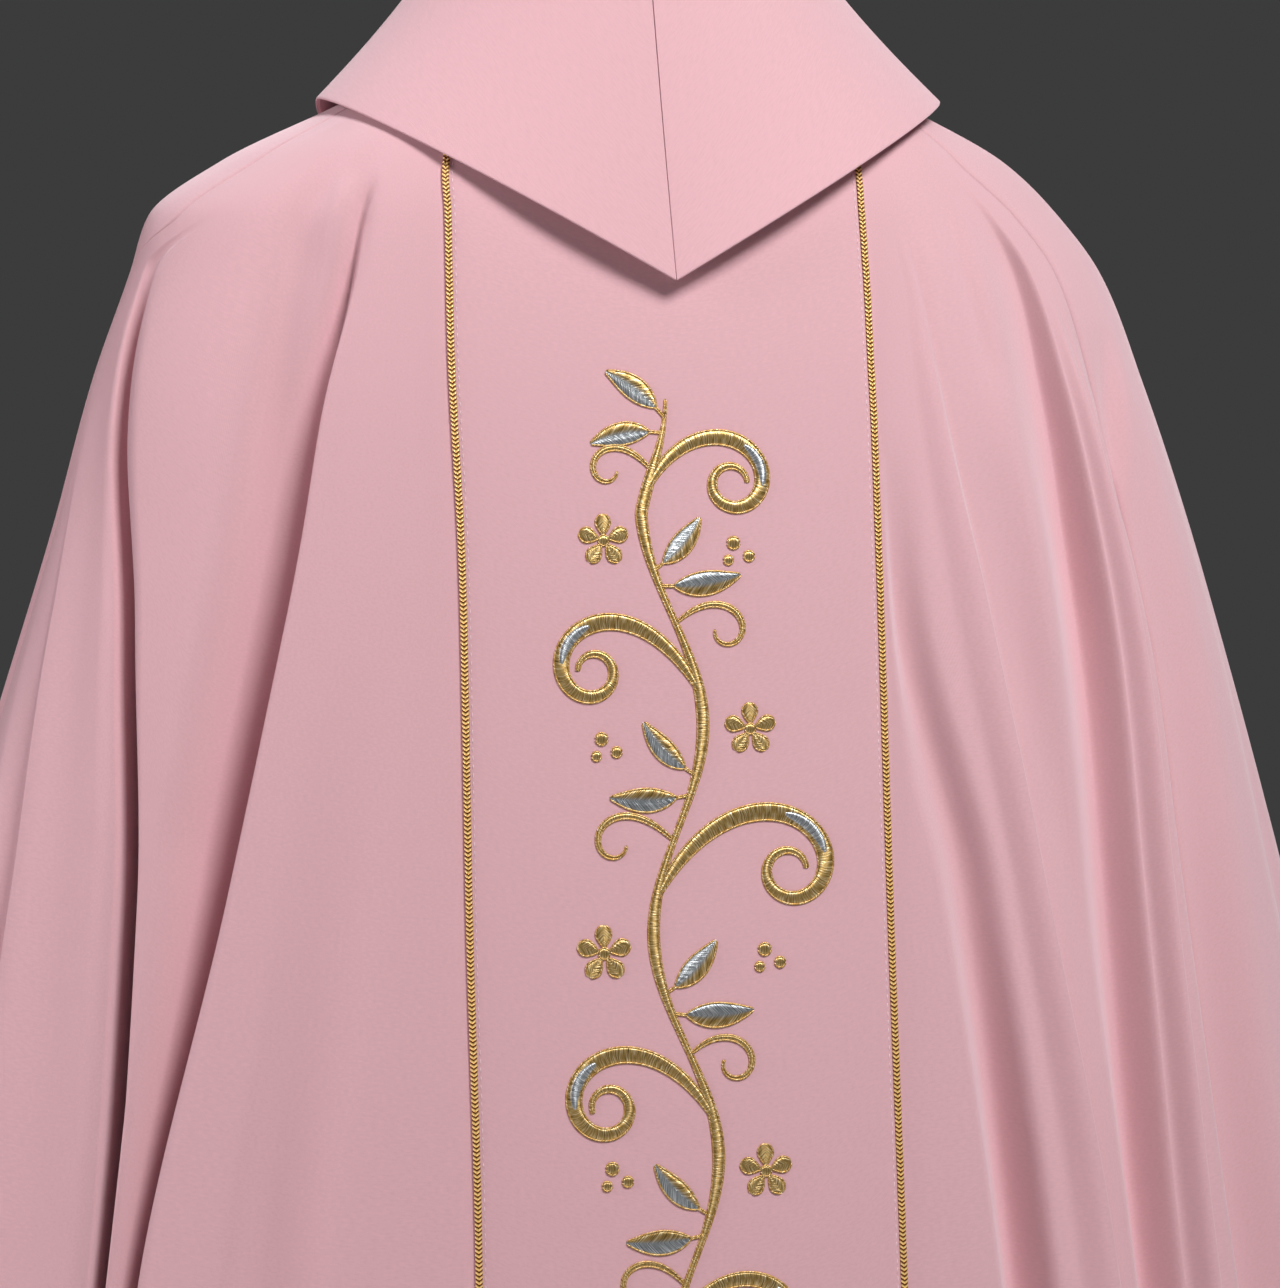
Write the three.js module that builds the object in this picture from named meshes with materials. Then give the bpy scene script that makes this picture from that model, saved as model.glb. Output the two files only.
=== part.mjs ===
// Chasuble as worn, without its wearer: a wide cloth body open at neck, sides and hem, with a
// centre strip and two braids on the back and a pointed turned-over collar. Millimetres, +Z up,
// the back faces +Y, +X is the wearer's left. The origin is the middle of the neck seam.
import * as THREE from "three";

const CLOTH_WALL = 1.6; // body cloth
const COLLAR_WALL = 2.2; // two layers with a stiff layer between
const STRIP_WALL = 1.0;
const BRAID_WALL = 1.2;
const SEAM_GAP = 0.3; // between neighbouring pieces

// The body without folds: a rounded box section at each height.
// square is the exponent of the section's curve: 2 is an ellipse, more is squarer.
const BODY = {
  columns: ["z", "left", "right", "back", "front", "square"],
  rows: [
    [0, 96, 96, 70, 56, 2.1],
    [-33, 166, 168, 88, 72, 2.2],
    [-60, 222, 216, 98, 85, 2.4],
    [-90, 262, 247, 107, 98, 2.5],
    [-120, 272, 270, 114, 110, 2.5],
    [-180, 293, 296, 124, 128, 2.5],
    [-260, 314, 325, 133, 142, 2.45],
    [-360, 344, 356, 142, 155, 2.4],
    [-500, 387, 394, 157, 172, 2.3],
    [-680, 439, 440, 178, 192, 2.2],
    [-950, 500, 502, 207, 214, 2.2],
    [-1300, 556, 555, 238, 236, 2.2],
  ],
};

// Height of the neck edge and of the hem at the side, the centre back and the centre front.
const NECK_EDGE = { side: 0, back: -8, front: -60 };
const HEM_EDGE = { side: -600, back: -1290, front: -1240 };
const NECK_POWER = 1;
const HEM_POWER = 0.75;
// Rings from neck (0) to hem (1). Strip and braids run from the second ring to the last but one.
const RING_COUNT = 14;
const RINGS = [
  0,
  0.02,
  ...Array.from({ length: RING_COUNT }, (_, i) => 0.065 + 0.89 * (i / (RING_COUNT - 1))),
  0.998,
  1,
];
const ROW_SPREAD = { centre: 1.25, side: 1.85 }; // above 1 packs the rings towards the neck

// Folds and seams, in order round the body from the left shoulder seam over the back to the
// right one and round the front. angle is where the line runs at each level, in degrees from the
// centre back towards +X; depth is how far the cloth dips there (a ridge is below 0);
// left and right are the widths of its flanks; lean tucks the valley under its right (+) or
// left (-) side; share is how much of the gap to the next line each flank may take;
// steep is the power of the flank's profile (2 is a soft valley, more has steeper walls);
// flat is how many plain columns lie between this line and the next.
const LEVELS = [0, -65, -90, -120, -200, -300, -450, -650, -1300];
const FOLDS = {
  columns: ["name", "angle", "depth", "left", "right", "lean", "share", "steep", "flat"],
  rows: [
    ["left_seam", [80, 61, 64, 86, 93, 92.5, 92, 92, 92],
      [0, 0, 0, 0, 0, 0, 0, 0, 0], 0, 0, 0, 0, 2, 1],
    ["arm_crease", [72, 58, 59.5, 78, 81, 73.5, 64, 58.5, 56],
      [0, 0, 0, 0, 0, 1.5, 7, 13, 20], 26, 6, 0, 0.5, 2, 1],
    ["arm_valley", [64, 53, 56.5, 69.5, 63.9, 54.4, 46.2, 42.2, 38],
      [0, 0, 0, 3, 26, 46, 54, 46, 34], 8, 6, -2, 0.45, 2.4, 1],
    ["back_left_valley", [50, 36, 34.4, 34.4, 35.4, 36.1, 37.4, 39.9, 35],
      [0, 0, 3, 9, 22, 31, 38, 38, 34], 42, 6, 9, 0.72, 2, 1],
    ["low_left_valley", [47, 32, 29.4, 28.6, 28, 28, 28, 29, 26],
      [0, 0, 0, 0, 0, 0, 4, 11, 22], 26, 36, 0, 0.5, 2, 1],
    ["left_braid", [43, 27.1, 23.7, 22.9, 20.7, 18.5, 16.2, 13.8, 10.7],
      [0, 0, 0, 0, 0, 0, 0, 0, 0], 4.2, 4.2, 0, 0.4, 2, 4],
    ["right_braid", [-47, -29.1, -26, -23.9, -21.6, -19.8, -18, -16.4, -12.3],
      [0, 0, 0, 0, 0, 0, 0, 0, 0], 4.2, 4.2, 0, 0.4, 2, 0],
    ["braid_valley", [-50, -31.2, -28.4, -26.6, -23, -21.8, -25.1, -26.2, -23.2],
      [0, 0, 0, 0, 0, 8, 16.5, 29, 32], 20, 18, 0, 0.6, 2, 0],
    ["back_right_ridge", [-53, -33, -30.6, -29.4, -28.8, -29.8, -31.1, -32.6, -29],
      [0, 0, 0, -1, -4, -8, -11, -13, -12], 22, 5, 0, 0.4, 2, 1],
    ["back_right_valley", [-62, -44.5, -45, -45.4, -44.6, -43.2, -40.2, -37.8, -33],
      [0, 0, 2, 8, 18, 25, 24, 22, 22], 40, 18, 0, 0.5, 2, 1],
    ["right_ridge", [-68, -46.5, -47.8, -48.6, -48.2, -47.3, -44.4, -42.2, -37],
      [0, 0, 0, 0, -5, -9, -12, -13, -12], 14, 5, 0, 0.45, 2, 0],
    ["right_seam", [-75, -49, -51, -52, -52, -52, -49.6, -47.6, -43],
      [0, 0, 0, 0, 5, 10, 14, 18, 20], 12, 40, 0, 0.5, 2, 1],
    ["right_side_valley", [-88, -80, -79, -78, -76, -76, -74, -74, -74],
      [0, 0, 0, 0, 2, 5, 9, 14, 20], 34, 34, 0, 0.4, 2, 1],
    ["right_arm_ridge", [-100, -96, -95, -94, -94, -94, -94, -93, -92],
      [0, 0, 0, 0, -2, -4, -6, -8, -10], 40, 40, 0, 0.4, 2, 0],
    ["right_arm_valley", [-116, -112, -112, -112, -114, -114, -113, -112, -110],
      [0, 0, 1, 3, 12, 22, 30, 32, 30], 34, 22, 5, 0.45, 2, 1],
    ["front_right_valley", [-138, -134, -135, -136, -138, -139, -140, -141, -143],
      [0, 1, 2, 4, 9, 14, 18, 22, 26], 30, 40, 0, 0.45, 2, 1],
    ["front_mid_valley", [-160, -160, -160, -161, -162, -162, -162, -162, -162],
      [0, 0, 0, 0, 3, 7, 12, 18, 26], 34, 30, 0, 0.45, 2, 1],
    ["front_left_ridge", [-182, -182, -182, -182, -183, -184, -184, -184, -184],
      [0, 0, 0, 0, -1, -2, -4, -7, -12], 36, 40, 0, 0.45, 2, 1],
    ["front_left_valley", [-204, -203, -203, -203, -202, -202, -202, -203, -202],
      [0, 0, 1, 2, 6, 10, 14, 19, 25], 30, 34, 0, 0.45, 2, 1],
    ["front_side_valley", [-226, -228, -227, -227, -225, -224, -223, -222, -220],
      [0, 1, 3, 5, 10, 16, 20, 25, 28], 36, 26, 0, 0.45, 2, 1],
    ["left_arm_valley", [-250, -254, -253, -252, -250, -249, -250, -250, -250],
      [0, 0, 1, 2, 10, 20, 27, 30, 28], 24, 34, -5, 0.45, 2, 1],
    ["left_side_ridge", [-268, -274, -273, -266, -259, -259, -259, -259, -259],
      [0, 0, 0, 0, -2, -4, -6, -8, -10], 34, 22, 0, 0.4, 2, 1],
  ],
};
const FLANK = [0.5, 1]; // columns on each flank of a soft valley, as parts of its width

// Collar: lower edge of the leaf runs from corner to corner, bowed round the body; turn is how
// far it drops where it turns the corner to the front, over the share TURN_SHARE of that quarter.
const COLLAR_CORNERS = {
  columns: ["name", "x", "y", "z", "bow", "turn"],
  rows: [
    ["back", -8, 127, -124, 0, 0],
    ["left", 168, 0, -25, 2.7, 6],
    ["front", -3, -138, -150, 0, 0],
    ["right", -176, 0, -24, 2.3, 0],
  ],
};
const COLLAR_STEPS = [0, 0.18, 0.36, 0.52, 0.66, 0.78, 0.88, 0.95, 1]; // between two corners
const ROLL = { side: 103, back: 77, front: 106, height: 52, frontHeight: 6, radius: 6, shift: -1 };
const LEAF_BOW = -1.5; // below 0 the leaf hangs in a little between roll and edge
const TURN_SHARE = 0.012;
const NECK_SEAM_GAP = 0.8;
const SEAM_DEPTH = 1.5; // the stand leaves the neck edge straight for this much
const STAND_STEPS = 5;
const ROLL_STEPS = 4;
const LEAF_STEPS = 5;

const ROSE_CLOTH = { color: 0xdcaab4, roughness: 0.85, metalness: 0 };
const GOLD_BRAID = { color: 0xb58a3c, roughness: 0.45, metalness: 0.5 };

function tableRows(table) {
  return table.rows.map((row) => Object.fromEntries(table.columns.map((name, i) => [name, row[i]])));
}

// Smooth curve through (xs, ys), xs falling, that never overshoots between its points.
function curveThrough(xs, ys) {
  const steps = xs.slice(1).map((x, i) => x - xs[i]);
  const slopes = steps.map((step, i) => (ys[i + 1] - ys[i]) / step);
  const tangents = ys.map((_, i) => {
    if (i === 0) return slopes[0];
    if (i === ys.length - 1) return slopes[i - 1];
    if (slopes[i - 1] * slopes[i] <= 0) return 0;
    const near = 2 * steps[i] + steps[i - 1];
    const far = steps[i] + 2 * steps[i - 1];
    return (near + far) / (near / slopes[i - 1] + far / slopes[i]);
  });
  return (x) => {
    if (x >= xs[0]) return ys[0] + (x - xs[0]) * tangents[0];
    let i = 0;
    while (i < steps.length - 1 && x < xs[i + 1]) i += 1;
    const t = Math.min((x - xs[i]) / steps[i], 1.2);
    const start = (1 + 2 * t) * (1 - t) ** 2 * ys[i] + t * (1 - t) ** 2 * steps[i] * tangents[i];
    const end = t * t * (3 - 2 * t) * ys[i + 1] + t * t * (t - 1) * steps[i] * tangents[i + 1];
    return start + end;
  };
}

const bodyRows = tableRows(BODY);
const bodyLevels = bodyRows.map((row) => row.z);
const body = Object.fromEntries(
  BODY.columns.slice(1).map((name) => [name, curveThrough(bodyLevels, bodyRows.map((row) => row[name]))]),
);

const folds = tableRows(FOLDS).map((row) => ({
  ...row,
  angleAt: curveThrough(LEVELS, row.angle),
  depthAt: curveThrough(LEVELS, row.depth),
}));

// Point of the plain body at an angle (degrees) and a height.
function plainPoint(angle, z) {
  const a = THREE.MathUtils.degToRad(angle);
  const power = body.square(z);
  const reach = (Math.abs(Math.sin(a)) ** power + Math.abs(Math.cos(a)) ** power) ** (-1 / power);
  const wide = Math.sin(a) > 0 ? body.left(z) : body.right(z);
  const deep = Math.cos(a) > 0 ? body.back(z) : body.front(z);
  return new THREE.Vector3(wide * Math.sin(a) * reach, deep * Math.cos(a) * reach, z);
}

// Direction along the section (towards +angle), outward normal and mm per degree.
function plainFrame(angle, z) {
  const along = plainPoint(angle + 0.5, z).sub(plainPoint(angle - 0.5, z));
  const upward = plainPoint(angle, z + 2).sub(plainPoint(angle, z - 2));
  const speed = along.length();
  along.normalize();
  const outward = upward.cross(along).normalize();
  return { along, outward, speed };
}

// Height of row t (0 neck, 1 hem) at an angle.
function rowHeight(angle, t) {
  const cosine = Math.cos(THREE.MathUtils.degToRad(angle));
  const end = cosine > 0 ? "back" : "front";
  const towards = (edge, power) => edge.side + (edge[end] - edge.side) * Math.abs(cosine) ** (2 * power);
  const top = towards(NECK_EDGE, NECK_POWER);
  const hem = towards(HEM_EDGE, HEM_POWER);
  const spread = ROW_SPREAD.side + (ROW_SPREAD.centre - ROW_SPREAD.side) * cosine * cosine;
  return top + (hem - top) * t ** spread;
}

// Angle of fold line k, counted on past one turn so that angles always fall along the ring.
function lineAngle(k, z) {
  const turns = Math.floor(k / folds.length);
  return folds[k % folds.length].angleAt(Math.min(z, 0)) - 360 * turns;
}

// The columns of the ring: each is a place on a fold's flank, or a part of the plain cloth between.
function ringColumns() {
  const columns = [];
  const flankOf = (fold) => FLANK.map((part) => part ** (2 / fold.steep));
  folds.forEach((fold, k) => {
    const next = folds[(k + 1) % folds.length];
    columns.push({ kind: "line", k, part: 0, name: fold.name });
    if (fold.right > 0) flankOf(fold).forEach((part) => columns.push({ kind: "right", k, part }));
    for (let i = 1; i <= fold.flat; i += 1) columns.push({ kind: "flat", k, part: i / (fold.flat + 1) });
    if (next.left > 0) flankOf(next).reverse().forEach((part) => columns.push({ kind: "left", k, part }));
  });
  return columns;
}

// Where a column stands at height z: its angle and how strongly its fold acts there.
function columnPlace(column, z) {
  const { k, kind, part } = column;
  const from = lineAngle(k, z);
  const to = lineAngle(k + 1, z);
  const here = folds[k % folds.length];
  const next = folds[(k + 1) % folds.length];
  const speedHere = plainFrame(from, z).speed;
  const speedNext = plainFrame(to, z).speed;
  const gap = from - to;
  const rightShare = Math.min(here.share, 0.95 - next.share);
  const rightWidth = Math.min(here.right / speedHere, gap * Math.max(rightShare, 0.2));
  const leftWidth = Math.min(next.left / speedNext, gap * next.share);
  if (kind === "line") return { angle: from, fold: here, pull: 1 };
  const pullOf = (fold) => (1 - part ** fold.steep) ** 2;
  if (kind === "right") return { angle: from - rightWidth * part, fold: here, pull: pullOf(here) };
  if (kind === "left") return { angle: to + leftWidth * part, fold: next, pull: pullOf(next) };
  const first = from - rightWidth;
  const last = to + leftWidth;
  return { angle: first + (last - first) * part, fold: here, pull: 0 };
}

// A point of the folded cloth's outer face.
function foldedPoint(column, t) {
  let z = -200 * t;
  let place = columnPlace(column, z);
  for (let i = 0; i < 14; i += 1) {
    z = (z + rowHeight(place.angle, t)) / 2;
    place = columnPlace(column, z);
  }
  const { along, outward } = plainFrame(place.angle, z);
  const sink = place.fold.depthAt(Math.min(z, 0)) * place.pull;
  const tuck = place.fold.lean * place.pull * THREE.MathUtils.smoothstep(-z, 80, 300);
  return plainPoint(place.angle, z).addScaledVector(outward, -sink).addScaledVector(along, -tuck);
}

// All rings of the body with their outward normals and their directions towards the neck.
function bodyGrid() {
  const columns = ringColumns();
  const count = columns.length;
  const points = [];
  RINGS.forEach((t) => points.push(columns.map((column) => foldedPoint(column, t))));
  const normals = points.map((ring, r) => ring.map((_point, c) => {
    const above = points[Math.max(r - 1, 0)][c];
    const below = points[Math.min(r + 1, RINGS.length - 1)][c];
    const before = ring[(c + count - 1) % count];
    const after = ring[(c + 1) % count];
    const down = below.clone().sub(above);
    return down.cross(after.clone().sub(before)).normalize().negate();
  }));
  return { columns, points, normals };
}

// A closed wall between two equal grids of points, outer and inner.
function wallMesh(name, outer, inner, finish) {
  const rows = outer.length;
  const width = outer[0].length;
  const positions = [];
  [...outer, ...inner].forEach((row) => row.forEach((p) => positions.push(p.x, p.y, p.z)));
  const index = [];
  const at = (side, r, c) => side * rows * width + r * width + c;
  const quad = (a, b, c, d) => index.push(a, b, c, a, c, d);
  const spans = width - 1;
  for (let r = 0; r < rows - 1; r += 1) {
    for (let c = 0; c < spans; c += 1) {
      quad(at(0, r, c), at(0, r, c + 1), at(0, r + 1, c + 1), at(0, r + 1, c));
      quad(at(1, r, c), at(1, r + 1, c), at(1, r + 1, c + 1), at(1, r, c + 1));
    }
    quad(at(0, r, 0), at(0, r + 1, 0), at(1, r + 1, 0), at(1, r, 0));
    quad(at(0, r, spans), at(1, r, spans), at(1, r + 1, spans), at(0, r + 1, spans));
  }
  for (let c = 0; c < spans; c += 1) {
    quad(at(0, 0, c), at(1, 0, c), at(1, 0, c + 1), at(0, 0, c + 1));
    quad(at(0, rows - 1, c), at(0, rows - 1, c + 1), at(1, rows - 1, c + 1), at(1, rows - 1, c));
  }
  const geometry = new THREE.BufferGeometry();
  geometry.setAttribute("position", new THREE.Float32BufferAttribute(positions, 3));
  geometry.setIndex(index);
  geometry.computeVertexNormals();
  const mesh = new THREE.Mesh(geometry, new THREE.MeshStandardMaterial(finish));
  mesh.name = name;
  return mesh;
}

// A piece cut from the body's grid: the wanted columns, moved out from the cloth.
function pieceOfBody(grid, name, columnIndices, firstLift, lastLift, options = {}) {
  const { trim = 0, finish = ROSE_CLOTH } = options;
  const { points, normals } = grid;
  const outer = [];
  const inner = [];
  const last = columnIndices.length - 1;
  points.forEach((ring, r) => {
    const lifted = (lift) => columnIndices.map((c, i) => {
      const point = ring[c].clone().addScaledVector(normals[r][c], lift);
      const neighbour = i === 0 ? ring[columnIndices[1]] : ring[columnIndices[last - 1]];
      if (i === 0 || i === last) point.addScaledVector(neighbour.clone().sub(ring[c]).normalize(), trim);
      return point;
    });
    outer.push(lifted(lastLift));
    inner.push(lifted(firstLift));
  });
  return wallMesh(name, outer, inner, finish);
}

// Lower edge of the collar leaf in one quarter; part runs from the centre seam to the side corner.
function collarEdge(quarter, part) {
  const corners = tableRows(COLLAR_CORNERS);
  const centre = corners[quarter === 0 || quarter === 3 ? 0 : 2];
  const corner = corners[quarter < 2 ? 1 : 3];
  const x = centre.x + (corner.x - centre.x) * part;
  const y = centre.y * (1 - part ** corner.bow) ** 0.5;
  const turned = centre.y < 0 ? corner.turn * part * (1 - Math.exp((part - 1) / TURN_SHARE)) : 0;
  const z = centre.z + (corner.z - centre.z) * part - turned;
  return { edge: new THREE.Vector3(x, y, z), centre, corner, part };
}

// Path of one collar section: neck seam, stand, roll, leaf. Returns points of the middle line.
function collarSection(quarter, fromCentre, neckAt) {
  const { edge, centre, corner, part } = collarEdge(quarter, fromCentre);
  const widest = Math.abs(corner.x);
  const deepest = Math.abs(centre.y);
  const sideSign = Math.sign(corner.x);
  const fromSeam = Math.abs(edge.x - centre.x * (1 - part)) / widest;
  const seen = Math.atan2(fromSeam, edge.y / deepest) * sideSign;
  const even = (Math.PI / 2) * (centre.y > 0 ? part : 2 - part) * sideSign;
  const angle = (seen + even) / 2;
  const toFront = (1 - Math.cos(angle)) / 2;
  const frontness = THREE.MathUtils.smoothstep(toFront, 0.45, 1);
  const deep = Math.cos(angle) > 0 ? ROLL.back : ROLL.front;
  const ringPoint = (grow) => new THREE.Vector3(
    ROLL.shift + (ROLL.side + grow) * Math.sin(angle), (deep + grow) * Math.cos(angle), 0,
  );
  const height = ROLL.height + (ROLL.frontHeight - ROLL.height) * frontness;
  const outwardFlat = ringPoint(1).sub(ringPoint(0)).normalize();
  const up = new THREE.Vector3(0, 0, 1);
  const rollCentre = ringPoint(0).setZ(height - ROLL.radius);
  const { point: seam, towardsNeck } = neckAt(THREE.MathUtils.radToDeg(even));
  const standFoot = seam.clone().addScaledVector(towardsNeck, NECK_SEAM_GAP);
  const standStart = standFoot.clone().addScaledVector(towardsNeck, SEAM_DEPTH);
  const standTop = rollCentre.clone().addScaledVector(outwardFlat, -ROLL.radius);
  const path = [standFoot];
  const stand = new THREE.CubicBezierCurve3(
    standStart,
    standStart.clone().addScaledVector(towardsNeck, 12),
    standTop.clone().addScaledVector(up, -26),
    standTop,
  );
  for (let i = 0; i <= STAND_STEPS; i += 1) path.push(stand.getPoint(i / STAND_STEPS));
  for (let i = 1; i < ROLL_STEPS; i += 1) {
    const turn = Math.PI * (i / ROLL_STEPS);
    path.push(rollCentre.clone()
      .addScaledVector(outwardFlat, -ROLL.radius * Math.cos(turn))
      .addScaledVector(up, ROLL.radius * Math.sin(turn)));
  }
  const leafTop = rollCentre.clone().addScaledVector(outwardFlat, ROLL.radius);
  const fall = edge.clone().sub(leafTop);
  const along = outwardFlat.dot(fall) / fall.lengthSq();
  const swell = outwardFlat.clone().addScaledVector(fall, -along).normalize();
  for (let i = 0; i <= LEAF_STEPS; i += 1) {
    const part = i / LEAF_STEPS;
    const swelling = LEAF_BOW * Math.sin(Math.PI * part);
    path.push(leafTop.clone().addScaledVector(fall, part).addScaledVector(swell, swelling));
  }
  return path;
}

// Half of the collar as a closed wall, from the back seam over its side corner to the front seam.
function collarHalf(name, quarters, neckAt, sideSign) {
  const sections = [];
  quarters.forEach((quarter, order) => {
    const steps = order === 0 ? COLLAR_STEPS : [...COLLAR_STEPS].reverse().slice(1);
    steps.forEach((part) => sections.push(collarSection(quarter, part, neckAt)));
  });
  const lastSection = sections.length - 1;
  const rows = sections[0].length;
  const outer = [];
  const inner = [];
  for (let r = 0; r < rows; r += 1) {
    outer.push([]);
    inner.push([]);
    sections.forEach((section, c) => {
      const before = sections[Math.max(c - 1, 0)][r];
      const after = sections[Math.min(c + 1, lastSection)][r];
      const up = section[Math.max(r - 1, 0)];
      const down = section[Math.min(r + 1, rows - 1)];
      const isSeam = c === 0 || c === lastSection;
      const across = after.clone().sub(before);
      if (isSeam) across.set(Math.sign(across.x), 0, 0);
      const normal = down.clone().sub(up).cross(across).normalize().multiplyScalar(sideSign);
      const point = section[r].clone();
      if (isSeam) point.x += (sideSign * SEAM_GAP) / 2;
      outer[r].push(point.clone().addScaledVector(normal, COLLAR_WALL / 2));
      inner[r].push(point.clone().addScaledVector(normal, -COLLAR_WALL / 2));
    });
  }
  const [first, second] = sideSign > 0 ? [inner, outer] : [outer, inner];
  return wallMesh(name, first, second, ROSE_CLOTH);
}

const grid = bodyGrid();
const columnCount = grid.columns.length;
const lineColumn = (name) => grid.columns.findIndex((column) => column.name === name);
const range = (from, to) => Array.from({ length: to - from + 1 }, (_, i) => (from + i) % columnCount);
const leftSeam = lineColumn("left_seam");
const rightSeam = lineColumn("right_seam");
const leftBraid = lineColumn("left_braid");
const rightBraid = lineColumn("right_braid");
const flankCount = FLANK.length;

// Neck edge at an angle: the middle of the body's wall there and the direction past the edge.
function neckAt(angle) {
  const target = plainPoint(angle, 0);
  const offset = (point) => point.x * target.y - point.y * target.x;
  const ahead = (point) => point.x * target.x + point.y * target.y > 0;
  const [ring, lower] = grid.points;
  const c = ring.findIndex((point, i) => {
    const next = ring[(i + 1) % columnCount];
    return ahead(point) && offset(point) > 0 && offset(next) <= 0;
  });
  const d = (c + 1) % columnCount;
  const part = offset(ring[c]) / (offset(ring[c]) - offset(ring[d]));
  const point = ring[c].clone().lerp(ring[d], part);
  const normal = grid.normals[0][c].clone().lerp(grid.normals[0][d], part).normalize();
  const towardsNeck = point.clone().sub(lower[c].clone().lerp(lower[d], part)).normalize();
  return { point: point.addScaledVector(normal, -CLOTH_WALL / 2), towardsNeck };
}

const group = new THREE.Group();
group.name = "chasuble";
const stripGrid = { points: grid.points.slice(1, -1), normals: grid.normals.slice(1, -1) };
const stripLift = SEAM_GAP;
const braidLift = stripLift + STRIP_WALL + SEAM_GAP;
const clothColumns = {
  back: range(leftSeam, rightSeam),
  front: range(rightSeam, leftSeam + columnCount),
};
Object.entries(clothColumns).forEach(([name, columns]) => {
  group.add(pieceOfBody(grid, name, columns, -CLOTH_WALL, 0, { trim: SEAM_GAP / 2 }));
});
const halfBraid = flankCount - 1;
const stripColumns = range(leftBraid - halfBraid, rightBraid + halfBraid);
group.add(pieceOfBody(stripGrid, "back_orphrey", stripColumns, stripLift, stripLift + STRIP_WALL));
Object.entries({ braid_left: leftBraid, braid_right: rightBraid }).forEach(([name, line]) => {
  const columns = range(line - halfBraid, line + halfBraid);
  const finish = { finish: GOLD_BRAID };
  group.add(pieceOfBody(stripGrid, name, columns, braidLift, braidLift + BRAID_WALL, finish));
});
group.add(collarHalf("collar_left", [0, 1], neckAt, 1));
group.add(collarHalf("collar_right", [3, 2], neckAt, -1));

export default group;
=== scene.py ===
"""A rose chasuble in its worn, hollow form, seen from behind: cloth body, centre strip with
embroidery, two gold braids and a pointed collar. Sizes are in millimetres; MM is one in metres."""

import math

import bpy
import numpy as np
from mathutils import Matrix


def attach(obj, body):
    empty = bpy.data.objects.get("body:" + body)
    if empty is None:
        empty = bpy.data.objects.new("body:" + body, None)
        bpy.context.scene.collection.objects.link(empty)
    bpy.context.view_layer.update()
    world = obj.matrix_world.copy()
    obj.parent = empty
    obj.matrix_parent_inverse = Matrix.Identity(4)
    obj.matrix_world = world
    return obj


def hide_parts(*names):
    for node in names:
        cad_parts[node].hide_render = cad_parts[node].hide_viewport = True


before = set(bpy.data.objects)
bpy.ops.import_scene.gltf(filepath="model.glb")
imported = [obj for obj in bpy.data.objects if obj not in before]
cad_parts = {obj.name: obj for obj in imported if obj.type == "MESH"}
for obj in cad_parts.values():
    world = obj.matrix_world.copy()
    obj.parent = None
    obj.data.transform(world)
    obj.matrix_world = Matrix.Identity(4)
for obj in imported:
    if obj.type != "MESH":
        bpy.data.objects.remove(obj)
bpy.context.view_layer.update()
MM = 0.001

# Camera: a long lens a little to the left side (+X) of straight behind and slightly above,
# close in on the shoulders, so the hem and the collar's roll lie outside the frame.
CAMERA_TARGET = (-10.0, 0.0, -328.7)
CAMERA_AZIMUTH = 170.5
CAMERA_ELEVATION = 5.0
CAMERA_DISTANCE = 2200.0
CAMERA_LENS = 109.3


def toward(azimuth, elevation):
    """Unit vector from the target to a viewer: azimuth 0 is in front (-Y), 90 on the +X side."""
    a, e = math.radians(azimuth), math.radians(elevation)
    return np.array([math.sin(a) * math.cos(e), -math.cos(a) * math.cos(e), math.sin(e)])


def aim(obj, place, target):
    """Puts a camera or a light at a place and turns its -Z axis to the target, +Z of the row up."""
    back = np.array(place, float) - np.array(target, float)
    back /= np.linalg.norm(back)
    right = np.cross([0, 0, 1], back)
    right /= np.linalg.norm(right)
    up = np.cross(back, right)
    matrix = np.eye(4)
    matrix[:3, 0], matrix[:3, 1], matrix[:3, 2], matrix[:3, 3] = right, up, back, place
    obj.matrix_world = [list(row) for row in matrix.T]
    return obj


camera = bpy.data.objects.new("camera", bpy.data.cameras.new("camera"))
bpy.context.scene.collection.objects.link(camera)
camera.data.lens = CAMERA_LENS
camera.data.sensor_width = 36.0
target = np.array(CAMERA_TARGET) * MM
aim(camera, target + toward(CAMERA_AZIMUTH, CAMERA_ELEVATION) * CAMERA_DISTANCE * MM, target)
bpy.context.scene.camera = camera

# Body cloth: front and back, each one cut of fine rose polyester and wool, hanging from the
# shoulders in long uneven folds. The folds run down from the shoulders and widen towards the hem.
BODY_COLUMNS = ("z", "left", "right", "back", "front", "square")
BODY = [
    (0, 96, 96, 70, 56, 2.1),
    (-33, 166, 168, 88, 72, 2.2),
    (-60, 222, 216, 98, 85, 2.4),
    (-90, 262, 247, 107, 98, 2.5),
    (-120, 272, 270, 114, 110, 2.5),
    (-180, 293, 296, 124, 128, 2.5),
    (-260, 314, 325, 133, 142, 2.45),
    (-360, 344, 356, 142, 155, 2.4),
    (-500, 387, 394, 157, 172, 2.3),
    (-680, 439, 440, 178, 192, 2.2),
    (-950, 500, 502, 207, 214, 2.2),
    (-1300, 556, 555, 238, 236, 2.2),
]
NECK_EDGE = {"side": 0, "back": -8, "front": -60, "power": 1}
HEM_EDGE = {"side": -600, "back": -1290, "front": -1240, "power": 0.75}
ROW_SPREAD = {"centre": 1.25, "side": 1.85}
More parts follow.
